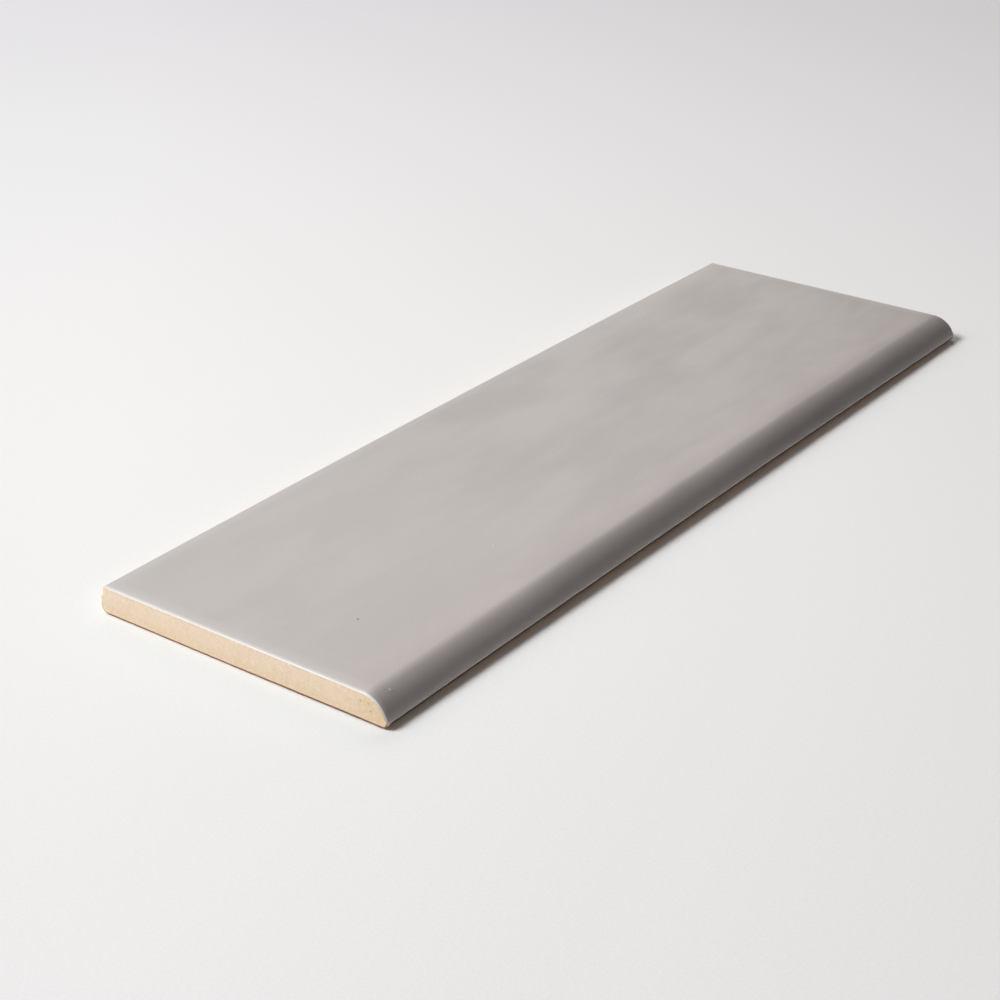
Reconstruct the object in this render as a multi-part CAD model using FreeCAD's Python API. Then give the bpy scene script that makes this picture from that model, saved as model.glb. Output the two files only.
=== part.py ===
"""Bullnose wall tile: one pressed, glazed and fired piece with one long edge rounded over.

Millimetres. +X runs along the length, the rounded long edge faces -Y and the glazed face is up.
The origin is on the bed plane that the ribs of the back lie in, in the middle of the outline.
"""
import FreeCAD
import Part
import math
import os

# Overall size, ribs of the back included
TILE_LENGTH = 300.0
TILE_WIDTH = 97.0
TILE_THICKNESS = 8.0

# Rounded long edge: a quarter round from the face down to a rounded foot
NOSE_RADIUS = 8.2
NOSE_FOOT_RADIUS = 1.5

# Plain long edge: an upright rim below the softened edge of the face, then a shoulder and a swollen flank
FLANK_RADIUS = 12.0
FLANK_WIDEST_HEIGHT = 3.4
FLANK_ARRIS_RADIUS = 0.8
FLANK_SHOULDER_RADIUS = 0.9
FLANK_FOOT_RADIUS = 2.4
RIM_SETBACK = 0.75
RIM_DEPTH = 1.8
RIM_COVE_RADIUS = 0.6

# Short ends: straight, with the edge all round the section softened
END_ROUND_RADIUS = 0.7

# Keyed back: a raised lattice of ribs with sloped walls, which stops short of the tile's edges
KEY_HEIGHT = 0.5
KEY_MARGIN_WIDTH = 3.0
KEY_PITCH = 22.0
KEY_RIB_WIDTH = 4.0
KEY_CORNER_RADIUS = 2.5
KEY_WALL_RUN = 0.8

# A rounding that meets a smaller one keeps to this share of it, so that neither closes up
ROUND_SHARE = 0.9

UP = math.pi / 2
DOWN = -math.pi / 2
TURN = 2 * math.pi


def section_point(centre, radius, angle):
    """Point of the cross section on a circle, the angle counted from +Y towards +Z."""
    y, z = centre
    return FreeCAD.Vector(-TILE_LENGTH / 2, y + radius * math.cos(angle), z + radius * math.sin(angle))


def section_arc(centre, radius, start, end):
    """Edge of the cross section that follows a circle from one angle to another."""
    angles = (start, (start + end) / 2, end)
    return Part.Arc(*[section_point(centre, radius, angle) for angle in angles]).toShape()


def inner_reach(radius, height, corner_radius, corner_height):
    """Sideways distance from a circle's centre to that of a smaller circle touching it from inside."""
    return math.sqrt((radius - corner_radius) ** 2 - (corner_height - height) ** 2)


def centre_between(first, first_reach, second, second_reach):
    """Point at given distances from two centres, on the right hand side of the way from first to second."""
    span = math.dist(first, second)
    way = ((second[0] - first[0]) / span, (second[1] - first[1]) / span)
    ahead = (first_reach**2 - second_reach**2 + span**2) / (2 * span)
    aside = math.sqrt(first_reach**2 - ahead**2)
    return first[0] + ahead * way[0] + aside * way[1], first[1] + ahead * way[1] - aside * way[0]


def angle_from(centre, other):
    """Direction of the line from one centre to another, from minus to plus half a turn."""
    return math.atan2(other[1] - centre[1], other[0] - centre[0])


def nose_centres():
    """Centres of the rounded edge's large arc and of the foot arc below it."""
    height = TILE_THICKNESS - NOSE_RADIUS
    foot_height = KEY_HEIGHT + NOSE_FOOT_RADIUS
    reach = inner_reach(NOSE_RADIUS, height, NOSE_FOOT_RADIUS, foot_height)
    # the large arc is the widest where its centre is above the foot's, and otherwise the foot is
    outermost = NOSE_RADIUS if height > foot_height else reach + NOSE_FOOT_RADIUS
    nose_y = outermost - TILE_WIDTH / 2
    return (nose_y, height), (nose_y - reach, foot_height)


def flank_centres():
    """Centres of the plain edge's flank arc and foot arc."""
    flank = (TILE_WIDTH / 2 - FLANK_RADIUS, FLANK_WIDEST_HEIGHT)
    foot_height = KEY_HEIGHT + FLANK_FOOT_RADIUS
    foot_y = flank[0] + inner_reach(FLANK_RADIUS, flank[1], FLANK_FOOT_RADIUS, foot_height)
    return flank, (foot_y, foot_height)


def rim_centres():
    """Centres of the arcs above the flank: the shoulder, the hollow cove over it and the arris."""
    rim_y = TILE_WIDTH / 2 - RIM_SETBACK
    cove = (rim_y + RIM_COVE_RADIUS, TILE_THICKNESS - RIM_DEPTH)
    arris = (rim_y - FLANK_ARRIS_RADIUS, TILE_THICKNESS - FLANK_ARRIS_RADIUS)
    inside_flank = FLANK_RADIUS - FLANK_SHOULDER_RADIUS
    beside_cove = RIM_COVE_RADIUS + FLANK_SHOULDER_RADIUS
    return centre_between(flank_centres()[0], inside_flank, cove, beside_cove), cove, arris


def section_face():
    """Cross section without the ribs: face, rounded edge, foot, back and flank, each tangent to the next."""
    nose, nose_foot = nose_centres()
    flank, flank_foot = flank_centres()
    shoulder, cove, arris = rim_centres()
    nose_turn = angle_from(nose, nose_foot) % TURN
    foot_turn = angle_from(flank, flank_foot)
    shoulder_turn = angle_from(flank, shoulder)
    cove_turn = angle_from(shoulder, cove)
    edges = [
        section_arc(nose, NOSE_RADIUS, UP, nose_turn),
        section_arc(nose_foot, NOSE_FOOT_RADIUS, nose_turn, DOWN + TURN),
        Part.makeLine(
            section_point(nose_foot, NOSE_FOOT_RADIUS, DOWN),
            section_point(flank_foot, FLANK_FOOT_RADIUS, DOWN),
        ),
        section_arc(flank_foot, FLANK_FOOT_RADIUS, DOWN, foot_turn),
        section_arc(flank, FLANK_RADIUS, foot_turn, shoulder_turn),
        section_arc(shoulder, FLANK_SHOULDER_RADIUS, shoulder_turn, cove_turn),
        section_arc(cove, RIM_COVE_RADIUS, cove_turn + math.pi, math.pi),
        Part.makeLine(
            section_point(cove, RIM_COVE_RADIUS, math.pi),
            section_point(arris, FLANK_ARRIS_RADIUS, 0),
        ),
        section_arc(arris, FLANK_ARRIS_RADIUS, 0, UP),
        Part.makeLine(
            section_point(arris, FLANK_ARRIS_RADIUS, UP),
            section_point(nose, NOSE_RADIUS, UP),
        ),
    ]
    return Part.Face(Part.Wire(edges))


def end_round_radius():
    """Rounding of the short ends, kept inside the section's own roundings."""
    smallest = min(NOSE_FOOT_RADIUS, FLANK_FOOT_RADIUS, FLANK_SHOULDER_RADIUS, FLANK_ARRIS_RADIUS)
    return min(END_ROUND_RADIUS, ROUND_SHARE * smallest)


def pressed_body():
    """The section run along the length, with both ends softened all round."""
    body = section_face().extrude(FreeCAD.Vector(TILE_LENGTH, 0, 0))
    ends = [edge for edge in body.Edges if edge.BoundBox.XLength < 1e-6]
    return body.makeFillet(end_round_radius(), ends)


def rounded_rectangle(length, width, radius, z):
    """Closed wire of a rectangle with rounded corners, centred on the Z axis."""
    corners = [(1, 1), (-1, 1), (-1, -1), (1, -1)]
    arcs = []
    for number, (side_x, side_y) in enumerate(corners):
        centre = FreeCAD.Vector(side_x * (length / 2 - radius), side_y * (width / 2 - radius), z)
        turns = [number * UP, (number + 0.5) * UP, (number + 1) * UP]
        points = [centre + FreeCAD.Vector(math.cos(t), math.sin(t), 0) * radius for t in turns]
        arcs.append(Part.Arc(*points).toShape())
    edges = []
    for number, arc in enumerate(arcs):
        following = arcs[(number + 1) % len(arcs)]
        edges.append(arc)
        edges.append(Part.makeLine(arc.Vertexes[-1].Point, following.Vertexes[0].Point))
    return Part.Wire(edges)


def sloped_block(length, width, corner, low, high, lean):
    """Block with rounded corners, of the given size at the bed plane, that leans out or in as it rises."""
    wires = []
    for z in (low, high):
        growth = lean * KEY_WALL_RUN * z / KEY_HEIGHT
        radius = max(corner + growth, corner * (1 - ROUND_SHARE))
        wires.append(rounded_rectangle(length + 2 * growth, width + 2 * growth, radius, z))
    return Part.makeLoft(wires, True, True)


def key_corner(length, width):
    """Corner rounding of a pocket or of the lattice, kept inside its sides."""
    return min(KEY_CORNER_RADIUS, ROUND_SHARE * min(length, width) / 2)


def key_span(low, high):
    """Ends of the lattice between two edges of the flat back."""
    return low + KEY_MARGIN_WIDTH, high - KEY_MARGIN_WIDTH


def key_row(low, high):
    """Middles of the pockets between the lattice's ends, and the pocket's size along that row."""
    span = high - low - KEY_RIB_WIDTH
    count = max(1, round(span / KEY_PITCH))
    pitch = span / count
    size = pitch - KEY_RIB_WIDTH
    return [low + KEY_RIB_WIDTH + size / 2 + number * pitch for number in range(count)], size


def keyed_tile():
    """The body with the lattice on its back: one raised block with the pockets pressed into it."""
    back_end = TILE_LENGTH / 2 - end_round_radius()
    ends = key_span(-back_end, back_end)
    sides = key_span(nose_centres()[1][0], flank_centres()[1][0])
    length = ends[1] - ends[0]
    width = sides[1] - sides[0]
    middle = FreeCAD.Vector(sum(ends) / 2, sum(sides) / 2, 0)
    block = sloped_block(length, width, key_corner(length, width), 0, 2 * KEY_HEIGHT, 1)
    columns, pocket_length = key_row(*ends)
    rows, pocket_width = key_row(*sides)
    corner = key_corner(pocket_length, pocket_width)
    pocket = sloped_block(pocket_length, pocket_width, corner, -KEY_HEIGHT, KEY_HEIGHT, -1)
    pockets = [pocket.translated(FreeCAD.Vector(x, y, 0)) for x in columns for y in rows]
    return pressed_body().fuse(block.translated(middle)).cut(pockets)


tile = keyed_tile()
os.makedirs("parts", exist_ok=True)
tile.exportStep("parts/bullnose_tile.step")
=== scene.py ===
"""Bullnose tile: satin grey glaze, white where it thins on the edges, over a buff pressed body."""

import math

import bpy
import numpy as np
from mathutils import Matrix, Vector


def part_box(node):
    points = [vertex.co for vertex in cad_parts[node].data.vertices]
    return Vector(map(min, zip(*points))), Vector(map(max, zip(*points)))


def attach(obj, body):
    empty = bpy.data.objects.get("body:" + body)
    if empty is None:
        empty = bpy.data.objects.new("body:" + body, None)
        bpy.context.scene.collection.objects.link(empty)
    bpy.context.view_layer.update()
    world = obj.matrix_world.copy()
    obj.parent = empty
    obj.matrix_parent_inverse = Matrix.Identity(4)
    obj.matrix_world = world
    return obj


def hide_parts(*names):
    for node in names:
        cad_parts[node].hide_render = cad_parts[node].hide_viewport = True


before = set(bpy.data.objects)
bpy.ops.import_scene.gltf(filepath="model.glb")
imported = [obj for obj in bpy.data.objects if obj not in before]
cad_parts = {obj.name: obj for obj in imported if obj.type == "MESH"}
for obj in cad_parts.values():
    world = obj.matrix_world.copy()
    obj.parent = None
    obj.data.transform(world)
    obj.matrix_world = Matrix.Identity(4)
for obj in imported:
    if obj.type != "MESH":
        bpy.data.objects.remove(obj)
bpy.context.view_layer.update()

MM = 0.001
UP = math.pi / 2
TURN = 2 * math.pi

NODE = "bullnose_tile"
node_low, node_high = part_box(NODE)
LENGTH = node_high[0] - node_low[0]
WIDTH = node_high[1] - node_low[1]
THICKNESS = node_high[2] - node_low[2]

# Cross section, as in the solid
NOSE_RADIUS = 8.2 * MM
NOSE_FOOT_RADIUS = 1.5 * MM
FLANK_RADIUS = 12.0 * MM
FLANK_WIDEST_HEIGHT = 3.4 * MM
FLANK_ARRIS_RADIUS = 0.8 * MM
FLANK_SHOULDER_RADIUS = 0.9 * MM
FLANK_FOOT_RADIUS = 2.4 * MM
RIM_SETBACK = 0.75 * MM
RIM_DEPTH = 1.8 * MM
RIM_COVE_RADIUS = 0.6 * MM
END_ROUND_RADIUS = 0.7 * MM

# Keyed back, as in the solid
KEY_HEIGHT = 0.5 * MM
KEY_MARGIN_WIDTH = 3.0 * MM
KEY_PITCH = 22.0 * MM
KEY_RIB_WIDTH = 4.0 * MM
KEY_CORNER_RADIUS = 2.5 * MM
KEY_WALL_RUN = 0.8 * MM
BACK_END = LENGTH / 2 - END_ROUND_RADIUS
LATTICE_END = BACK_END - KEY_MARGIN_WIDTH

# What pressing and firing do to that shape
END_SIDE_RADIUS = 0.4 * MM
END_HEEL_RADIUS = 0.12 * MM
END_SWELL = 0.3 * MM
END_LIP = 0.45 * MM
END_LIP_FADE = 50 * MM
NOSE_LIP = 0.35 * MM
NOSE_LIP_WIDTH = KEY_MARGIN_WIDTH - KEY_WALL_RUN
NOSE_LIP_FADE = 4 * MM
LIP_HEIGHT = 3.0 * MM
CAMBER = 0.65 * MM
EDGE_FALL = 0.15 * MM
EDGE_FALL_REACH = 4.5 * MM

# Waves of the glazed face: lengths in millimetres, cover where they start, and cover over which they rise
WAVE_HEIGHT = 0.03 * MM
WAVE_COUNT = 16
WAVE_SEED = 4
WAVE_LENGTHS = (14, 44)
WAVE_USUAL_LENGTH = 30 * MM
WAVE_HEADING_SPREAD = 0.45
WAVE_CALM_COVER = 1.5
WAVE_RISE_COVER = 8

# Where the glaze ends: turn down the plain edge, height on the rounded edge, way down the ends' edges
GLAZE_TURN = math.radians(75)
GLAZE_STOP_HEIGHT = 1.86 * MM
GLAZE_END_BARE = 0.47 * MM
GLAZE_END_BARE_NOSE = 0.26 * MM
GLAZE_NOSE_GAIN = 4.0
GLAZE_FOOT_GAIN = 5.0

# Where shade is painted on the bare body: the foot under the rounded edge, and the lower edge of the ends,
# where shade falls near the floor
FOOT_SHADE_OVERLAP = 4 * MM
FOOT_SHADE_HEIGHT = 0.9 * MM
FOOT_UNSHADED_LENGTH = 1 * MM
HEEL_SHADE_RISE = 0.25

# A normal's rise below which a surface faces down, and below which it is the flat back
FACES_DOWN = -0.05
FLAT_BACK = -0.999

# Mesh density
ARC_STEPS = {
    "flank": 5,
    "shoulder": 5,
    "cove": 4,
    "arris": 7,
    "heel": 7,
    "nose": 20,
    "tip": 3,
    "foot": 8,
    "end": 7,
}
RIM_RISE_STEPS = 2
ARRIS_START = ARC_STEPS["flank"] + ARC_STEPS["shoulder"] + ARC_STEPS["cove"] + RIM_RISE_STEPS
FACE_START = ARRIS_START + ARC_STEPS["arris"]
CAP_ROWS = 14
POCKET_INSETS = np.array([0.0, 0.4, 0.8, 1.5, 2.5]) * MM
POCKET_MIDDLE_STEPS = 7
RIB_STEPS = 3
MARGIN_STEPS = 3

# Room for each surface on the texture map: the sleeve, then the two ends above it
SLEEVE_MAP_TOP = 0.78
END_MAP_BOTTOMS = (0.80, 0.91)
END_MAP_HEIGHT = 0.085
END_MAP_MARGIN = 0.01

# Extra room on the map beside the ends and beside the glaze's edges, and its reach in millimetres
MAP_END_GAIN = 5
MAP_END_REACH = 3
MAP_GLAZE_GAIN = 4
MAP_GLAZE_REACH = 2


def inner_reach(radius, height, corner_radius, corner_height):
    """Sideways distance from a circle's centre to that of a smaller circle touching it from inside."""
    return math.sqrt((radius - corner_radius) ** 2 - (corner_height - height) ** 2)


def centre_between(first, first_reach, second, second_reach):
    """Point at given distances from two centres, on the right hand side of the way from first to second."""
    span = math.dist(first, second)
    way = ((second[0] - first[0]) / span, (second[1] - first[1]) / span)
    ahead = (first_reach**2 - second_reach**2 + span**2) / (2 * span)
    aside = math.sqrt(first_reach**2 - ahead**2)
    return first[0] + ahead * way[0] + aside * way[1], first[1] + ahead * way[1] - aside * way[0]


def angle_from(centre, other):
    """Direction of the line from one centre to another, from minus to plus half a turn."""
    return math.atan2(other[1] - centre[1], other[0] - centre[0])


def arc_run(centre, radius, start, end, steps, hollow=False):
    """Points and outward normals along an arc of the cross section, bulging or hollow."""
    angles = np.linspace(start, end, steps + 1)
    rays = np.stack([np.cos(angles), np.sin(angles)], axis=1)
    return np.asarray(centre) + radius * rays, -rays if hollow else rays


def upright_run(across, heights):
    """Points and outward normals along an upright stretch of the cross section."""
    points = np.stack([np.full(len(heights), across), heights], axis=1)
    return points, np.tile((1.0, 0.0), (len(heights), 1))


def flat_run(across, height, normal):
    """Points and outward normals along a level stretch of the cross section."""
    points = np.stack([across, np.full(len(across), height)], axis=1)
    return points, np.tile(normal, (len(across), 1))


def joined(*runs):
    """One run from several that each start where the one before ended."""
    points = [runs[0][0]] + [run[0][1:] for run in runs[1:]]
    normals = [runs[0][1]] + [run[1][1:] for run in runs[1:]]
    return np.concatenate(points), np.concatenate(normals)


def along(points):
    """Length along a run of points, from its first."""
    steps = np.linalg.norm(np.diff(points, axis=0), axis=1)
    return np.concatenate([[0.0], np.cumsum(steps)])


def key_row(low, high):
    """First edges of the pockets between two edges of the flat back, and the pockets' size."""
    first = low + KEY_MARGIN_WIDTH + KEY_RIB_WIDTH
    span = high - low - 2 * KEY_MARGIN_WIDTH - KEY_RIB_WIDTH
    count = max(1, round(span / KEY_PITCH))
    pitch = span / count
    return first + pitch * np.arange(count), pitch - KEY_RIB_WIDTH


def key_lines(low, high):
    """Mesh lines over the back from edge to edge, close together at the lattice's walls."""
    firsts, size = key_row(low, high)
    middle = np.linspace(POCKET_INSETS[-1], size - POCKET_INSETS[-1], POCKET_MIDDLE_STEPS + 1)[1:-1]
    pocket = np.concatenate([POCKET_INSETS, middle, (size - POCKET_INSETS)[::-1]])
    rib = KEY_RIB_WIDTH * np.arange(1, RIB_STEPS) / RIB_STEPS
    rim = np.linspace(0, KEY_MARGIN_WIDTH - KEY_WALL_RUN, MARGIN_STEPS + 1)
    wall = KEY_MARGIN_WIDTH - KEY_WALL_RUN * np.array([0.5, 0])
    margin = np.concatenate([rim, wall, KEY_MARGIN_WIDTH + rib])
    lines = [low + margin]
    for first in firsts:
        lines.append(first + pocket)
        lines.append(first + size + rib)
    lines[-1] = high - margin[::-1]
    return np.concatenate(lines)


def past_outline(past_x, past_y):
    """Distance past the outline of a rectangle with rounded corners, from those past its sides."""
    x = past_x + KEY_CORNER_RADIUS
    y = past_y + KEY_CORNER_RADIUS
    outside = np.hypot(np.maximum(x, 0), np.maximum(y, 0))
    return outside + np.minimum(np.maximum(x, y), 0) - KEY_CORNER_RADIUS


def rib_height(x, y, back):
    """How far the lattice stands out of the flat back, which lies between the given edges in Y."""
    past_lattice = []
    past_pocket = []
    for value, (low, high) in ((x, (-BACK_END, BACK_END)), (y, back)):
        firsts, size = key_row(low, high)
        nearest = np.abs(value[:, None] - (firsts + size / 2)[None, :]).min(axis=1)
        past_pocket.append(nearest - size / 2)
        past_lattice.append(np.abs(value - (low + high) / 2) - (high - low) / 2 + KEY_MARGIN_WIDTH)
    rim = 1 - past_outline(*past_lattice) / KEY_WALL_RUN
    pocket = 1 + past_outline(*past_pocket) / KEY_WALL_RUN
    return KEY_HEIGHT * np.clip(np.minimum(rim, pocket), 0, 1)


def section_halves():
    """Upper and lower half of the cross section, from the flank's widest line to the nose's tip."""
    nose_height = THICKNESS - NOSE_RADIUS
    foot = (node_low[1] + NOSE_FOOT_RADIUS, KEY_HEIGHT + NOSE_FOOT_RADIUS)
    nose = (foot[0] + inner_reach(NOSE_RADIUS, nose_height, NOSE_FOOT_RADIUS, foot[1]), nose_height)
    flank = (node_high[1] - FLANK_RADIUS, FLANK_WIDEST_HEIGHT)
    rim = node_high[1] - RIM_SETBACK
    arris = (rim - FLANK_ARRIS_RADIUS, THICKNESS - FLANK_ARRIS_RADIUS)
    cove = (rim + RIM_COVE_RADIUS, THICKNESS - RIM_DEPTH)
    inside_flank = FLANK_RADIUS - FLANK_SHOULDER_RADIUS
    shoulder = centre_between(flank, inside_flank, cove, RIM_COVE_RADIUS + FLANK_SHOULDER_RADIUS)
    heel_height = KEY_HEIGHT + FLANK_FOOT_RADIUS
    heel = (flank[0] + inner_reach(FLANK_RADIUS, flank[1], FLANK_FOOT_RADIUS, heel_height), heel_height)
    shoulder_turn = angle_from(flank, shoulder)
    cove_turn = angle_from(shoulder, cove)
    heel_turn = angle_from(flank, heel)
    nose_turn = angle_from(nose, foot) % TURN
    back = key_lines(foot[0], heel[0])[::-1]
    lower = joined(
        arc_run(flank, FLANK_RADIUS, 0, heel_turn, ARC_STEPS["flank"]),
        arc_run(heel, FLANK_FOOT_RADIUS, heel_turn, -UP, ARC_STEPS["heel"]),
        flat_run(back, KEY_HEIGHT, (0, -1)),
        arc_run(foot, NOSE_FOOT_RADIUS, TURN - UP, math.pi, ARC_STEPS["foot"]),
    )
    face = np.linspace(arris[0], nose[0], len(lower[0]) - FACE_START - ARC_STEPS["nose"] - ARC_STEPS["tip"])
    upper = joined(
        arc_run(flank, FLANK_RADIUS, 0, shoulder_turn, ARC_STEPS["flank"]),
        arc_run(shoulder, FLANK_SHOULDER_RADIUS, shoulder_turn, cove_turn, ARC_STEPS["shoulder"]),
        arc_run(cove, RIM_COVE_RADIUS, cove_turn + math.pi, math.pi, ARC_STEPS["cove"], hollow=True),
        upright_run(rim, np.linspace(cove[1], arris[1], RIM_RISE_STEPS + 1)),
        arc_run(arris, FLANK_ARRIS_RADIUS, 0, UP, ARC_STEPS["arris"]),
        flat_run(face, THICKNESS, (0, 1)),
        arc_run(nose, NOSE_RADIUS, UP, nose_turn, ARC_STEPS["nose"]),
        arc_run(foot, NOSE_FOOT_RADIUS, nose_turn, math.pi, ARC_STEPS["tip"]),
    )
    return upper, lower


def section_ring():
    """The whole cross section as one ring of points and normals, and the number of the nose's tip in it."""
    (upper, upper_normals), (lower, lower_normals) = section_halves()
    ring = np.concatenate([upper, lower[-2:0:-1]])
    normals = np.concatenate([upper_normals, lower_normals[-2:0:-1]])
    return ring, normals, len(upper) - 1


def sleeve(ring, normals):
    """The section at every station with its ends rolled over, and the way of each point from its end."""
    radius = np.interp(normals[:, 1], (-1, 0, 1), (END_HEEL_RADIUS, END_SIDE_RADIUS, END_ROUND_RADIUS))
    turns = np.linspace(UP, 0, ARC_STEPS["end"] + 1)[:, None]
    rolled_x = LENGTH / 2 - radius * (1 - np.sin(turns))
    rolled_inset = radius * (1 - np.cos(turns))
    rolled_way = radius * (UP - turns)
    straight = key_lines(-BACK_END, BACK_END)[1:-1, None]
    straight_x = np.repeat(straight, len(ring), axis=1)
    straight_way = LENGTH / 2 - np.abs(straight) + (UP - 1) * radius
    x = np.concatenate([-rolled_x, straight_x, rolled_x[::-1]])
    inset = np.concatenate([rolled_inset, np.zeros_like(straight_x), rolled_inset[::-1]])
    end_way = np.concatenate([rolled_way, straight_way, rolled_way[::-1]])
    drawn = ring[None] - inset[:, :, None] * normals[None]
    return np.concatenate([x[:, :, None], drawn], axis=2), end_way


def ring_cover(ring, way, tip):
    """Distance inside the glaze's edges round the section, negative on the bare side."""
    start = way[FACE_START] - (way[FACE_START] - way[ARRIS_START]) * GLAZE_TURN / UP
    side = slice(tip - ARC_STEPS["tip"], tip + ARC_STEPS["foot"] + 1)
    stop = np.interp(-GLAZE_STOP_HEIGHT, -ring[side, 1], way[:-1][side])
    around = way[-1]
    inside = (way[:-1] - start) % around
    glazed = stop - start
    covered = np.minimum(inside, GLAZE_FOOT_GAIN * (glazed - inside))
    bare = -np.minimum(inside - glazed, around - inside)
    return np.where(inside <= glazed, covered, bare)


def glaze_cover(ring, upward, across, end_way):
    """Millimetres from the glaze's edge: positive under glaze and negative on bare body."""
    down_nose = np.where(ring[:, 0] < 0, 1 - np.clip(upward, 0, 1), 0)
    bare = GLAZE_END_BARE + (GLAZE_END_BARE_NOSE - GLAZE_END_BARE) * down_nose
    gain = 1 + (GLAZE_NOSE_GAIN - 1) * np.sqrt(down_nose)
    return np.minimum(across, (end_way - bare) * gain).reshape(-1) / MM


def painted_shade_mask(ring, upward, across, x, end_way):
    """Painted shade, 0 or 1: the bare foot under the rounded edge and the lower edge of each end, where
    shade falls near the floor.
    """
    on_foot = (ring[:, 0] < node_low[1] + NOSE_FOOT_RADIUS) & (across < FOOT_SHADE_OVERLAP)
    on_foot &= ring[:, 1] > FOOT_SHADE_HEIGHT
    unshaded_end = x < FOOT_UNSHADED_LENGTH - LENGTH / 2
    under_end = (end_way < 2 * END_HEEL_RADIUS) & (upward < FACES_DOWN)
    return np.where(under_end | (on_foot & ~unshaded_end), 1.0, 0.0).reshape(-1)


def glaze_waves(x, y):
    """Slow unevenness of the glazed face, drawn out along the length and the same on every run."""
    random = np.random.default_rng(WAVE_SEED)
    height = np.zeros_like(x)
    for _ in range(WAVE_COUNT):
        wavelength = random.uniform(*WAVE_LENGTHS) * MM
        heading = UP + random.normal(0, WAVE_HEADING_SPREAD)
        phase = random.uniform(0, TURN)
        way = x * math.cos(heading) + y * math.sin(heading)
        height += wavelength / WAVE_USUAL_LENGTH * np.sin(TURN * way / wavelength + phase)
    return WAVE_HEIGHT * height / math.sqrt(WAVE_COUNT)


def press_and_glaze(points, upward, cover, back):
    """Gives the sleeve's points the back's lattice, the glaze's waves and its fall towards the edges."""
    on_back = upward < FLAT_BACK
    points[on_back, 2] -= rib_height(points[on_back, 0], points[on_back, 1], back)
    level = np.clip(upward, 0, 1)
    calm = np.clip((cover - WAVE_CALM_COVER) / WAVE_RISE_COVER, 0, 1) * level
    points[:, 2] += glaze_waves(points[:, 0], points[:, 1]) * calm
    fall = np.clip(1 - cover * MM / EDGE_FALL_REACH, 0, 1) ** 2
    points[:, 2] -= EDGE_FALL * fall * level


def fire(points, nose_side):
    """Flares the ends below the face, gives ends and nose a low lip, and cambers the tile."""
    height = np.clip(points[:, 2] / THICKNESS, 0, 1)
    near_end = np.clip((np.abs(points[:, 0]) - BACK_END) / END_ROUND_RADIUS, 0, 1)
    swell = np.where(height > 0.5, 4 * height * (1 - height), 1)
    points[:, 0] += np.sign(points[:, 0]) * END_SWELL * near_end * swell
    lip = END_LIP * near_end * np.clip((points[:, 1] - nose_side) / END_LIP_FADE, 0, 1)
    from_end = np.clip((LENGTH / 2 - np.abs(points[:, 0])) / NOSE_LIP_FADE, 0, 1)
    under_nose = np.clip((nose_side + NOSE_LIP_WIDTH - points[:, 1]) / NOSE_LIP_WIDTH, 0, 1)
    lip += NOSE_LIP * from_end * under_nose
    points[:, 2] -= lip * np.clip(1 - points[:, 2] / LIP_HEIGHT, 0, 1)
    points[:, 2] += CAMBER * (1 - (points[:, 0] / LATTICE_END) ** 2)


def spread(lengths, weights):
    """Places from 0 to 1 along a run, with more room where the weight is larger."""
    steps = np.diff(lengths) * (weights[1:] + weights[:-1]) / 2
    room = np.concatenate([[0.0], np.cumsum(steps)])
    return room / room[-1]


def sleeve_map(stations, way, across):
    """Texture map of the sleeve along and round it, with more room near the edges of the glaze."""
    length = along(stations[:, FACE_START + 1])
    from_end = np.minimum(length, length[-1] - length) / MM
    map_u = spread(length, 1 + MAP_END_GAIN * np.exp(-from_end / MAP_END_REACH))
    from_glaze = np.abs(np.append(across, across[0])) / MM
    map_v = spread(way, 1 + MAP_GLAZE_GAIN * np.exp(-from_glaze / MAP_GLAZE_REACH))
    return map_u, SLEEVE_MAP_TOP * map_v


def sleeve_faces(map_u, map_v):
    """Faces between the stations of the sleeve, and the place on the map of each of their corners."""
    count = len(map_v) - 1
    faces = []
    corner_map = []
    for row in range(len(map_u) - 1):
        for column in range(count):
            following = (column + 1) % count
            here = row * count
            there = here + count
            faces.append((here + column, here + following, there + following, there + column))
            for step_row, step_column in ((0, 0), (0, 1), (1, 1), (1, 0)):
                corner_map.append((map_u[row + step_row], map_v[column + step_column]))
    return faces, corner_map


def cap_grid(base, tip, count, new):
    """Point numbers of an end in rows from its upper edge down, the inner ones from a new number on."""
    grid = np.zeros((CAP_ROWS + 1, tip + 1), int)
    grid[0] = base + np.arange(tip + 1)
    grid[-1] = base + np.concatenate([[0], np.arange(count - 1, tip, -1), [tip]])
    grid[1:-1, 0] = base
    grid[1:-1, -1] = base + tip
    grid[1:-1, 1:-1] = new + np.arange((CAP_ROWS - 1) * (tip - 1)).reshape(CAP_ROWS - 1, tip - 1)
    return grid


def cap_points(upper, lower):
    """Points between the upper and lower edge of an end, with their cover of glaze and their painted shade.
    """
    height = np.linalg.norm(upper - lower, axis=1)[1:-1]
    points = []
    cover = []
    painted_shade = []
    for number in range(1, CAP_ROWS):
        share = number / CAP_ROWS
        points.append((upper * (1 - share) + lower * share)[1:-1])
        cover.append(-(GLAZE_END_BARE + share * height) / MM)
        lowest = number == CAP_ROWS - 1
        painted_shade.append(np.full(len(height), HEEL_SHADE_RISE if lowest else 0.0))
    return np.concatenate(points), np.concatenate(cover), np.concatenate(painted_shade)


def cap_faces(grid, near):
    """Faces of an end, turned outwards at the near end or at the far one."""
    faces = []
    for row in range(CAP_ROWS):
        for column in range(grid.shape[1] - 1):
            corners = (
                grid[row, column],
                grid[row + 1, column],
                grid[row + 1, column + 1],
                grid[row, column + 1],
            )
            corners = list(dict.fromkeys(int(corner) for corner in corners))
            faces.append(tuple(corners if near else corners[::-1]))
    return faces


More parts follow.
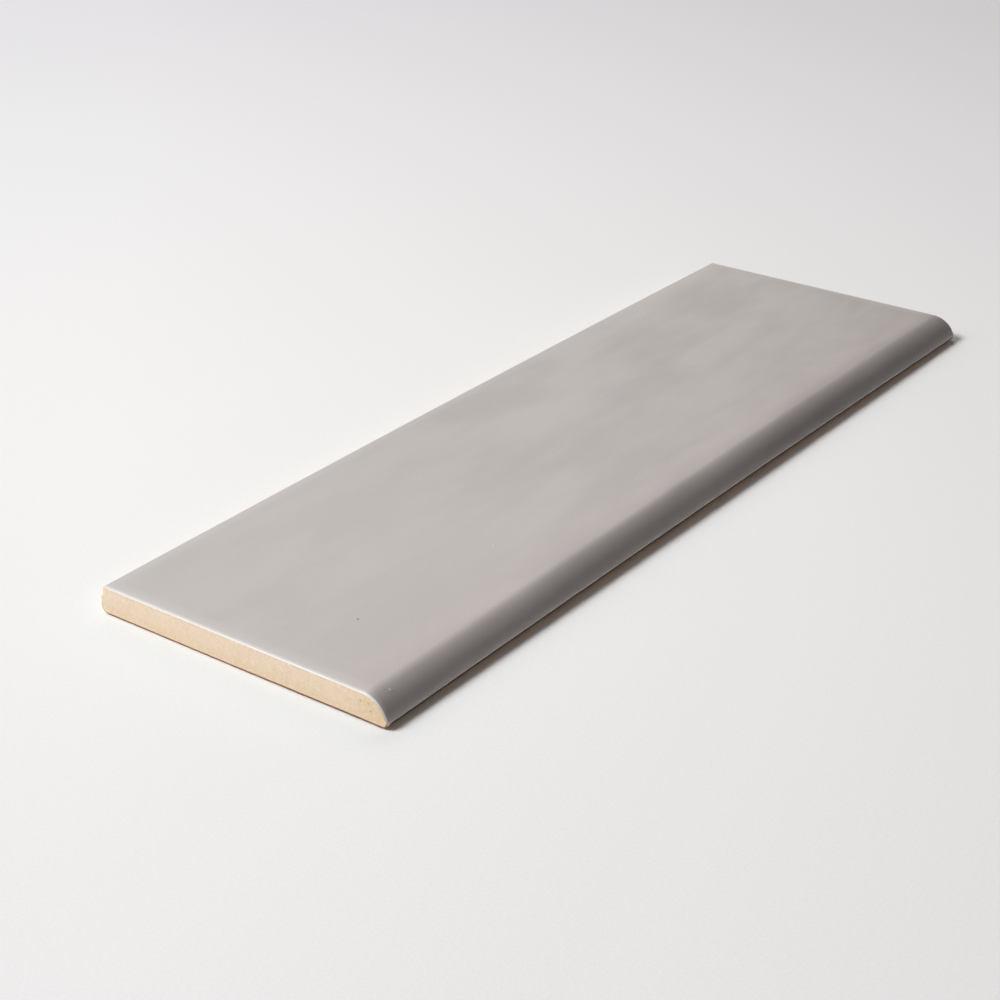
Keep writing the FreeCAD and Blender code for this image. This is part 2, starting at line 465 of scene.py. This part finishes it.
def cap_map(corners, map_bottom):
    """Places on the map of the corners of an end's face."""
    share_y = (corners[:, 1] - node_low[1]) / WIDTH
    share_z = corners[:, 2] / THICKNESS
    map_u = END_MAP_MARGIN + (1 - 2 * END_MAP_MARGIN) * share_y
    map_v = map_bottom + END_MAP_HEIGHT * share_z
    return np.stack([map_u, map_v], axis=1).tolist()


def tile_mesh():
    """The whole tile as one closed mesh, with the glaze's cover and the mask of painted shade stored on its
    points.
    """
    ring, normals, tip = section_ring()
    upward = normals[:, 1]
    flat_back = ring[upward < FLAT_BACK, 0]
    back = (flat_back.min(), flat_back.max())
    way = along(np.concatenate([ring, ring[:1]]))
    across = ring_cover(ring, way, tip)
    stations, end_way = sleeve(ring, normals)
    rows, count = end_way.shape
    cover = glaze_cover(ring, upward, across, end_way)
    painted_shade = painted_shade_mask(ring, upward, across, stations[:, :, 0], end_way)
    points = stations.reshape(-1, 3)
    press_and_glaze(points, np.tile(upward, rows), cover, back)
    map_u, map_v = sleeve_map(points.reshape(rows, count, 3), way, across)
    faces, corner_map = sleeve_faces(map_u, map_v)

    for station, map_bottom in zip((0, rows - 1), END_MAP_BOTTOMS):
        grid = cap_grid(station * count, tip, count, len(points))
        inner, inner_cover, inner_painted_shade = cap_points(points[grid[0]], points[grid[-1]])
        points = np.concatenate([points, inner])
        cover = np.concatenate([cover, inner_cover])
        painted_shade = np.concatenate([painted_shade, inner_painted_shade])
        for face in cap_faces(grid, near=station == 0):
            faces.append(face)
            corner_map.extend(cap_map(points[list(face)], map_bottom))
    fire(points, back[0])

    mesh = bpy.data.meshes.new(NODE)
    mesh.from_pydata(points.tolist(), [], faces)
    for name, values in (("glaze_cover", cover), ("painted_foot_shade", painted_shade)):
        stored = mesh.attributes.new(name, "FLOAT", "POINT")
        stored.data.foreach_set("value", values.astype(np.float32))
    texture_map = mesh.uv_layers.new(name="OFBake")
    texture_map.data.foreach_set("uv", np.array(corner_map, np.float32).ravel())
    mesh.polygons.foreach_set("use_smooth", np.ones(len(faces), bool))
    mesh.update()
    return mesh


# A round spot fades out between these shares of its radius
SPOT_FADE = (0.5, 1.2)


class Nodes:
    """Short calls for building one node tree."""

    def __init__(self, tree):
        self.tree = tree
        tree.nodes.clear()

    def add(self, kind, inputs=(), **settings):
        node = self.tree.nodes.new(kind)
        for name, value in settings.items():
            setattr(node, name, value)
        for name, value in dict(inputs).items():
            self.put(value, node.inputs[name])
        return node

    def put(self, value, socket):
        if isinstance(value, bpy.types.NodeSocket):
            self.tree.links.new(value, socket)
        else:
            socket.default_value = value

    def math(self, operation, *values):
        node = self.add("ShaderNodeMath", operation=operation)
        for socket, value in zip(node.inputs, values):
            self.put(value, socket)
        return node.outputs[0]

    def vector(self, operation, first, second, output="Vector"):
        node = self.add("ShaderNodeVectorMath", {0: first, 1: second}, operation=operation)
        return node.outputs[output]

    def axes(self, where):
        return self.add("ShaderNodeSeparateXYZ", {"Vector": where}).outputs

    def noise(self, where, size, detail=2.0, roughness=0.5):
        node = self.add(
            "ShaderNodeTexNoise",
            {"Vector": where, "Scale": 1 / size, "Detail": detail, "Roughness": roughness},
        )
        return node.outputs["Fac"]

    def ramp(self, value, low, high, to_low=0.0, to_high=1.0, smooth=True):
        node = self.add(
            "ShaderNodeMapRange",
            {"Value": value, "From Min": low, "From Max": high, "To Min": to_low, "To Max": to_high},
            interpolation_type="SMOOTHSTEP" if smooth else "LINEAR",
        )
        return node.outputs["Result"]

    def spot(self, where, place, radius, strength=1.0):
        """A soft round spot at a place: its strength inside the radius, and nothing outside."""
        distance = self.vector("DISTANCE", where, place, "Value")
        inner, outer = SPOT_FADE
        return self.ramp(distance, inner * radius, outer * radius, strength, 0.0)

    def strongest_spot(self, where, marks):
        """The strongest of several spots, given by place and radius in millimetres."""
        strongest = 0.0
        for place, radius in marks:
            spot = self.spot(where, Vector(place) * MM, radius * MM)
            strongest = self.math("MAXIMUM", strongest, spot)
        return strongest

    def blend(self, share, first, second, mode="MIX"):
        node = self.add("ShaderNodeMix", data_type="RGBA", blend_type=mode)
        self.put(share, node.inputs[0])
        self.put(first, node.inputs[6])
        self.put(second, node.inputs[7])
        return node.outputs[2]

    def tint(self, share, colour, tone):
        """A colour multiplied by a tone, as far as the share goes."""
        return self.blend(share, colour, tone, "MULTIPLY")

    def between(self, share, first, second):
        node = self.add("ShaderNodeMix", data_type="FLOAT")
        self.put(share, node.inputs[0])
        self.put(first, node.inputs[2])
        self.put(second, node.inputs[3])
        return node.outputs[0]

    def sight(self):
        """1 for what the camera sees, directly, reflected or through glass, and 0 for other light."""
        path = self.add("ShaderNodeLightPath").outputs
        reflected = self.math("MAXIMUM", path["Is Camera Ray"], path["Is Glossy Ray"])
        return self.math("MAXIMUM", reflected, path["Is Transmission Ray"])


# Colours of the glaze, and tones that multiply them
GLAZE_PALE = (0.495, 0.4655, 0.442, 1)
GLAZE_DEEP = (0.4165, 0.3905, 0.370, 1)
GLAZE_THIN = (0.51, 0.484, 0.461, 1)
GLAZE_EDGE = (0.665, 0.645, 0.62, 1)
GLAZE_EDGE_NOSE = (0.84, 0.81, 0.775, 1)
# Painted light: a warm tint of the light towards the rounded edge
WARM_PAINTED_LIGHT = (1.02, 0.965, 0.963, 1)
# Painted shade on the rounded edge: darker, more so towards the far end and low down, where it lies in
# shade
NOSE_PAINTED_SHADE = (0.80, 0.85, 0.878, 1)
NOSE_FAR_PAINTED_SHADE = (0.735, 0.745, 0.76, 1)
NOSE_LOW_PAINTED_SHADE = (0.9, 0.9, 0.9, 1)

# Colours of the body and of the marks
BODY = (0.835, 0.672, 0.515, 1)
BODY_SHADED = (0.82, 0.66, 0.495, 1)
BODY_PALE = (0.88, 0.755, 0.62, 1)
BODY_YELLOW = (0.79, 0.615, 0.41, 1)
BODY_OCHRE = (0.755, 0.565, 0.35, 1)
BODY_DARK = (0.52, 0.38, 0.25, 1)
BODY_RIM = (0.745, 0.605, 0.475, 1)
# Painted shade: a red-brown heel under the near end and a dark foot under the rounded edge, where shade
# falls near the floor
HEEL_PAINTED_SHADE = (0.30, 0.095, 0.028, 1)
FOOT_PAINTED_SHADE = (0.08, 0.054, 0.038, 1)
SPECK_DARK = (0.17, 0.155, 0.145, 1)
SPECK_BROWN = (0.63, 0.43, 0.22, 1)

# Firing marks: place and radius in millimetres
FACE_Z = THICKNESS / MM
PINHOLES = [
    ((-124.4, -17.7, FACE_Z + 0.2), 0.4),
    ((-101.4, -41.2, FACE_Z), 0.3),
    ((-145.2, -43.8, 7.4), 0.16),
    ((-144.8, -45.2, 6.6), 0.16),
    ((-143.9, -45.1, 6.7), 0.18),
]
NICKS = [
    ((-144.1, -44.4, 7.1), 0.32),
    ((-73.1, -21.5, FACE_Z + 0.5), 0.26),
]
BODY_SPECKS = [
    ((-150.3, -40.5, 5.64), 0.42),
    ((-150.2, -42.9, 5.68), 0.34),
    ((-150.3, -43.6, 3.77), 0.38),
]

# Broad paler and deeper shades of the glaze: place and radius in millimetres, and strength
SHADES = [
    ((-125, 5, FACE_Z), 95, 0.045),
    ((115, 40, FACE_Z), 40, 0.055),
    ((105, 2, FACE_Z), 45, -0.04),
    ((35, -36, FACE_Z), 50, -0.05),
    ((-35, 40, FACE_Z), 30, -0.02),
]


def from_nose(*distances):
    """Y of lines at these distances in millimetres inwards from the outermost line of the rounded edge."""
    return [node_low[1] + distance * MM for distance in distances]


# Sizes of the noises
WANDER_SIZE = 2.2 * MM
GRAIN_SIZE = 0.5 * MM
PALE_GRAIN_SIZE = 0.8 * MM
MOTTLE_SIZE = 1.8 * MM
STREAK_SIZE = 14 * MM
TURN_LINE_SIZE = 24 * MM
SKIN_SIZE = 1.6 * MM

# Strengths of the noises: how far lines wander, how streaks are drawn out, how grains shade the glaze
WANDER_COVER = 0.4
TURN_LINE_WANDER = 5 * MM
STREAK_STRETCH = (0.35, 1, 1)
STREAK_STRENGTHS = (0.4, 1.0)
GRAIN_SHADES = (0.972, 1.028)
PALE_GRAIN_SHIFT = (0.31, 0.17, 0.23)
NOISE_SPAN = (0.3, 0.7)

# Ramps of the glaze, from and to: by cover in millimetres, then by place
UNDER_GLAZE = (-0.06, 0.06)
FULL_GLAZE = (0.58, 1.12)
THICK_GLAZE = (0.9, 4.5)
STREAK_X = (-100 * MM, 60 * MM)
WARM_Y = from_nose(26.5, 6.5)
NOSE_Y = from_nose(8, 2)
NOSE_FAR_X = (-140 * MM, 120 * MM)
NOSE_FAR_Y = from_nose(13.5, 5)
NOSE_LOW_Z = (5.5 * MM, 3.5 * MM)
END_X = (LENGTH / 2 - 2 * MM, LENGTH / 2 - 1 * MM)
NEAR_END_X = (-END_X[0], -END_X[1])
END_OF_NOSE_Y = from_nose(10.5, 3.5)

# Ramps of the body, from and to, with the share that they end at where it isn't all
SHADED_Y = from_nose(60.5, 28.5)
OCHRE_Y = from_nose(13.5, 2.5)
RIM_COVER = (-0.75, -0.35)
PAINTED_SHADE_SPAN = (0.35, 0.75)
YELLOW_Z = (4.5 * MM, 1.5 * MM, 0.0, 0.75)
YELLOW_MOTTLE = (0.42, 0.62, 0.0, 0.5)
PALE_GRAINS = (0.48, 0.66, 0.0, 0.55)
DARK_GRAINS = (0.50, 0.72, 0.0, 0.3)

# Surface: a matt grainy body and a satin glaze
BODY_ROUGHNESS = 0.9
GLAZE_ROUGHNESS = 0.36
GLAZE_IOR = 1.5
BODY_RELIEF = 0.12
GLAZE_RELIEF = 0.012
RELIEF_STRENGTH = 0.6
RELIEF_DEPTH = 1.0 * MM


def glaze_colour(n, where, depth, grains):
    """Grey glaze with faint streaks, painted shade on the rounded edge, and white where it breaks over an
    edge.
    """
    place = n.axes(where)
    # Streaks: partly the glaze's own tone, partly painted reflection bands of the face's waves, strongest
    # towards the far end
    streaks = n.noise(n.vector("MULTIPLY", where, STREAK_STRETCH), STREAK_SIZE, detail=3)
    strength = n.ramp(place["X"], *STREAK_X, *STREAK_STRENGTHS, smooth=False)
    grey = n.blend(n.between(strength, 0.5, n.ramp(streaks, *NOISE_SPAN)), GLAZE_DEEP, GLAZE_PALE)
    grey = n.blend(n.ramp(depth, *THICK_GLAZE, smooth=False), GLAZE_THIN, grey)
    # Painted warm tint of the light towards the rounded edge
    grey = n.tint(n.ramp(place["Y"], *WARM_Y), grey, WARM_PAINTED_LIGHT)
    shade = n.ramp(grains, *NOISE_SPAN, *GRAIN_SHADES)
    for middle, radius, change in SHADES:
        shade = n.math("ADD", shade, n.spot(where, Vector(middle) * MM, radius * MM, change))
    grey = n.tint(1.0, grey, shade)

    # Rounded edge: its painted shade starts at a line that wanders a little, and deepens towards the far
    # end and low down
    wander = n.noise(where, TURN_LINE_SIZE, detail=1)
    turn_line = n.math("MULTIPLY_ADD", wander, TURN_LINE_WANDER, -TURN_LINE_WANDER / 2)
    turn_line = n.math("ADD", turn_line, place["Y"])
    grey = n.tint(n.ramp(turn_line, *NOSE_Y), grey, NOSE_PAINTED_SHADE)
    far = n.ramp(place["X"], *NOSE_FAR_X, smooth=False)
    far = n.math("MULTIPLY", far, n.ramp(turn_line, *NOSE_FAR_Y))
    grey = n.tint(far, grey, NOSE_FAR_PAINTED_SHADE)
    grey = n.tint(n.ramp(place["Z"], *NOSE_LOW_Z), grey, NOSE_LOW_PAINTED_SHADE)

    # White edge, and the marks of firing
    at_end = n.ramp(n.math("ABSOLUTE", place["X"]), *END_X)
    end_of_nose = n.math("MULTIPLY", at_end, n.ramp(place["Y"], *END_OF_NOSE_Y))
    edge = n.blend(end_of_nose, GLAZE_EDGE, GLAZE_EDGE_NOSE)
    glaze = n.blend(n.ramp(depth, *FULL_GLAZE), edge, grey)
    glaze = n.blend(n.strongest_spot(where, NICKS), glaze, GLAZE_EDGE)
    return n.blend(n.strongest_spot(where, PINHOLES), glaze, SPECK_DARK)


def body_colour(n, where, cover, grains):
    """Pressed clay of pale, yellow and dark grains, more ochre low down and towards the rounded edge, with
    painted shade on the foot and the heel.
    """
    place = n.axes(where)
    shifted = n.vector("ADD", where, PALE_GRAIN_SHIFT)
    pale_grains = n.noise(shifted, PALE_GRAIN_SIZE, detail=3, roughness=0.6)
    mottle = n.noise(where, MOTTLE_SIZE, detail=4, roughness=0.65)
    body = n.blend(n.ramp(place["Y"], *SHADED_Y), BODY, BODY_SHADED)
    body = n.blend(n.ramp(place["Y"], *OCHRE_Y), body, BODY_OCHRE)
    body = n.blend(n.ramp(place["Z"], *YELLOW_Z), body, BODY_YELLOW)
    body = n.blend(n.ramp(cover, *RIM_COVER), body, BODY_RIM)
    body = n.blend(n.ramp(mottle, *YELLOW_MOTTLE), body, BODY_YELLOW)
    body = n.blend(n.ramp(pale_grains, *PALE_GRAINS), body, BODY_PALE)
    body = n.blend(n.ramp(grains, *DARK_GRAINS), body, BODY_DARK)
    body = n.blend(n.strongest_spot(where, BODY_SPECKS), body, SPECK_BROWN)
    # Painted shade on the foot under the rounded edge and on the heel under the near end
    painted_shade = n.add("ShaderNodeAttribute", attribute_name="painted_foot_shade").outputs["Fac"]
    shade_tone = n.blend(n.ramp(place["X"], *NEAR_END_X), FOOT_PAINTED_SHADE, HEEL_PAINTED_SHADE)
    return n.blend(n.ramp(painted_shade, *PAINTED_SHADE_SPAN), body, shade_tone)


def tile_material():
    """Glaze and bare body in one material, parted along an edge that wanders a little."""
    material = bpy.data.materials.new("glazed_tile")
    material.use_nodes = True
    n = Nodes(material.node_tree)
    where = n.add("ShaderNodeTexCoord").outputs["Object"]
    cover = n.add("ShaderNodeAttribute", attribute_name="glaze_cover").outputs["Fac"]
    wander = n.noise(where, WANDER_SIZE, detail=5, roughness=0.7)
    depth = n.math("ADD", cover, n.math("MULTIPLY_ADD", wander, WANDER_COVER, -WANDER_COVER / 2))
    under_glaze = n.ramp(depth, *UNDER_GLAZE)
    grains = n.noise(where, GRAIN_SIZE, detail=4, roughness=0.65)
    glaze = glaze_colour(n, where, depth, grains)
    colour = n.blend(under_glaze, body_colour(n, where, cover, grains), glaze)
    body_relief = n.math("MULTIPLY", grains, BODY_RELIEF)
    glaze_relief = n.math("MULTIPLY", n.noise(where, SKIN_SIZE), GLAZE_RELIEF)
    relief = n.between(under_glaze, body_relief, glaze_relief)
    bump = n.add(
        "ShaderNodeBump",
        {"Strength": RELIEF_STRENGTH, "Distance": RELIEF_DEPTH, "Height": relief},
    )
    shader = n.add(
        "ShaderNodeBsdfPrincipled",
        {
            "Base Color": colour,
            "Roughness": n.between(under_glaze, BODY_ROUGHNESS, GLAZE_ROUGHNESS),
            "IOR": GLAZE_IOR,
            "Normal": bump.outputs["Normal"],
        },
    )
    n.add("ShaderNodeOutputMaterial", {"Surface": shader.outputs["BSDF"]})
    return material


# Floor in metres: painted shade fades it outwards from the middle and darkens it before the near end; it is
# toned towards the lamps
FLOOR_REACH = 4.0
FLOOR_MIDDLE = (-0.04, 0.02, 0)
FLOOR_FADE = (0.1, 0.62)
# Painted shade: the floor darkens outwards from the middle, as the light falls off
FLOOR_NEAR = (0.9, 0.897, 0.885, 1)
FLOOR_FAR = (0.785, 0.781, 0.799, 1)
FLOOR_BEFORE_END_SHADE = (0.95, 0.985, 1.0, 1)
BEFORE_END_X = (-0.168, -0.153)
BEFORE_END_UNDER_X = (-0.130, -0.145)
BEFORE_END_Y = (0.062, 0.04)
FLOOR_LAMPWARD = (0.63, 0.63, 0.625, 1)
LAMPWARD_FADE = (0.2, 1.2)
FLOOR_GRAIN_SIZE = 1.5 * MM
FLOOR_GRAIN_STRENGTH = 0.2
FLOOR_GRAIN_DEPTH = 0.2 * MM
FLOOR_FLECK_SIZE = 0.7 * MM
FLOOR_FLECK_RAMP = (0.2, 0.8, 0.967, 1.033)
FLOOR_ROUGHNESS = 0.95
FLOOR_SPECULAR = 0.05

# Surround: distance at which it takes over from the floor, and rise of a unit sight line where it ends
SURROUND_LAMPWARD = (0.82, 0.815, 0.81, 1)
SURROUND_AWAY = (0.50, 0.495, 0.495, 1)
SURROUND_START = (0.70, 1.25)
SURROUND_RISE = (0.08, 0.24)
ROOM_LIGHT = (0.171, 0.143, 0.129, 1)


def surround_colour(n, heading):
    """Tone of the surround along a sight line, paler on the lamps' side."""
    way = n.axes(n.vector("NORMALIZE", heading, (0, 0, 0)))
    lampward = n.math("SUBTRACT", way["Y"], way["X"])
    return n.blend(n.ramp(lampward, -1.0, 1.0), SURROUND_AWAY, SURROUND_LAMPWARD)


def floor_colour(n, where, away):
    """Pale floor with fine flecks, and painted shade that fades it outwards and darkens it before the near
    end.
    """
    place = n.axes(where)
    tone = n.blend(n.ramp(away, *FLOOR_FADE, smooth=False), FLOOR_NEAR, FLOOR_FAR)
    # Painted shade before the near end, against the light that the lit end throws onto the floor
    shade_before_end = n.ramp(place["X"], *BEFORE_END_X)
    shade_before_end = n.math("MULTIPLY", shade_before_end, n.ramp(n.math("ABSOLUTE", place["Y"]), *BEFORE_END_Y))
    shade_before_end = n.math("MULTIPLY", shade_before_end, n.ramp(place["X"], *BEFORE_END_UNDER_X))
    tone = n.tint(shade_before_end, tone, FLOOR_BEFORE_END_SHADE)
    lampward = n.math("SUBTRACT", place["Y"], place["X"])
    tone = n.blend(n.ramp(lampward, *LAMPWARD_FADE, smooth=False), tone, FLOOR_LAMPWARD)
    flecks = n.noise(where, FLOOR_FLECK_SIZE)
    return n.tint(1.0, tone, n.ramp(flecks, *FLOOR_FLECK_RAMP, smooth=False))


def floor_material():
    """Matt pale floor that shows as the surround far off."""
    material = bpy.data.materials.new("floor")
    material.use_nodes = True
    n = Nodes(material.node_tree)
    where = n.add("ShaderNodeTexCoord").outputs["Object"]
    away = n.vector("DISTANCE", where, FLOOR_MIDDLE, "Value")
    grain = n.noise(where, FLOOR_GRAIN_SIZE, detail=4)
    bump = n.add(
        "ShaderNodeBump",
        {"Strength": FLOOR_GRAIN_STRENGTH, "Distance": FLOOR_GRAIN_DEPTH, "Height": grain},
    )
    shader = n.add(
        "ShaderNodeBsdfPrincipled",
        {
            "Base Color": floor_colour(n, where, away),
            "Roughness": FLOOR_ROUGHNESS,
            "Specular IOR Level": FLOOR_SPECULAR,
            "Normal": bump.outputs["Normal"],
        },
    )
    surround = n.add("ShaderNodeEmission", {"Color": surround_colour(n, where), "Strength": 1.0})
    seen = n.math("MULTIPLY", n.sight(), n.ramp(away, *SURROUND_START))
    mixed = n.add(
        "ShaderNodeMixShader",
        {0: seen, 1: shader.outputs["BSDF"], 2: surround.outputs["Emission"]},
    )
    n.add("ShaderNodeOutputMaterial", {"Surface": mixed.outputs["Shader"]})
    return material


def add_floor():
    mesh = bpy.data.meshes.new("floor")
    corners = [(x * FLOOR_REACH, y * FLOOR_REACH, 0) for x, y in ((-1, -1), (1, -1), (1, 1), (-1, 1))]
    mesh.from_pydata(corners, [], [(0, 1, 2, 3)])
    floor = bpy.data.objects.new("floor", mesh)
    bpy.context.collection.objects.link(floor)
    mesh.materials.append(floor_material())


# Camera: focal length in pixels of a 1000 pixel frame, place in millimetres, and its turns in degrees
FRAME_PIXELS = 1000
FOCAL_PIXELS = 2071.66
CAMERA_PLACE = Vector((-463.25, -320.16, 267.58)) * MM
CAMERA_AZIMUTH = math.radians(-52.80)
CAMERA_ELEVATION = math.radians(26.56)
CAMERA_ROLL = math.radians(-0.57)
CAMERA_NEAREST = 0.01
SENSOR_WIDTH = 36.0


def add_camera():
    back = Vector(
        (
            math.sin(CAMERA_AZIMUTH) * math.cos(CAMERA_ELEVATION),
            -math.cos(CAMERA_AZIMUTH) * math.cos(CAMERA_ELEVATION),
            math.sin(CAMERA_ELEVATION),
        )
    )
    right = Vector((0, 0, 1)).cross(back).normalized()
    up = back.cross(right)
    turn = Matrix.Rotation(CAMERA_ROLL, 3, back)
    axes = Matrix((turn @ right, turn @ up, back)).transposed()
    data = bpy.data.cameras.new("camera")
    data.sensor_width = SENSOR_WIDTH
    data.lens = FOCAL_PIXELS / FRAME_PIXELS * SENSOR_WIDTH
    data.clip_start = CAMERA_NEAREST
    camera = bpy.data.objects.new("camera", data)
    camera.matrix_world = Matrix.Translation(CAMERA_PLACE) @ axes.to_4x4()
    bpy.context.collection.objects.link(camera)
    bpy.context.scene.camera = camera


# Lamps: place and size in metres, power in watts and colour
LAMPS = {
    "key": ((-1.13, 1.12, 1.65), (0.9, 0.68), 47.5, (0.975, 0.998, 1.02)),
    "low_side": ((-1.65, 1.73, 1.2), (2.2, 1.0), 6, (1, 1, 1)),
    "backdrop": ((1.4, 1.45, 1.47), (1.8, 1.25), 12.5, (1, 1, 1)),
}


def add_lamp(name, place, size, power, colour):
    """An area lamp that faces the tile."""
    data = bpy.data.lights.new(name, "AREA")
    data.shape = "RECTANGLE"
    data.size, data.size_y = size
    data.energy = power
    data.color = colour
    lamp = bpy.data.objects.new(name, data)
    aim = -Vector(place)
    lamp.matrix_world = Matrix.Translation(place) @ aim.to_track_quat("-Z", "Y").to_matrix().to_4x4()
    bpy.context.collection.objects.link(lamp)


def add_world():
    """Dim warm light of the room, which shows as the pale surround low down."""
    world = bpy.data.worlds.new("world")
    bpy.context.scene.world = world
    world.use_nodes = True
    n = Nodes(world.node_tree)
    heading = n.add("ShaderNodeTexCoord").outputs["Generated"]
    low_down = n.ramp(n.axes(heading)["Z"], *SURROUND_RISE, 1.0, 0.0)
    seen = n.math("MULTIPLY", n.sight(), low_down)
    colour = n.blend(seen, ROOM_LIGHT, surround_colour(n, heading))
    background = n.add("ShaderNodeBackground", {"Color": colour, "Strength": 1.0})
    n.add("ShaderNodeOutputWorld", {"Surface": background.outputs["Background"]})


tile = bpy.data.objects.new("tile", tile_mesh())
bpy.context.collection.objects.link(tile)
tile.data.materials.append(tile_material())
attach(tile, "root")
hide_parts(NODE)
add_floor()
add_camera()
for lamp_name, lamp_values in LAMPS.items():
    add_lamp(lamp_name, *lamp_values)
add_world()
bpy.context.scene.view_settings.view_transform = "Standard"
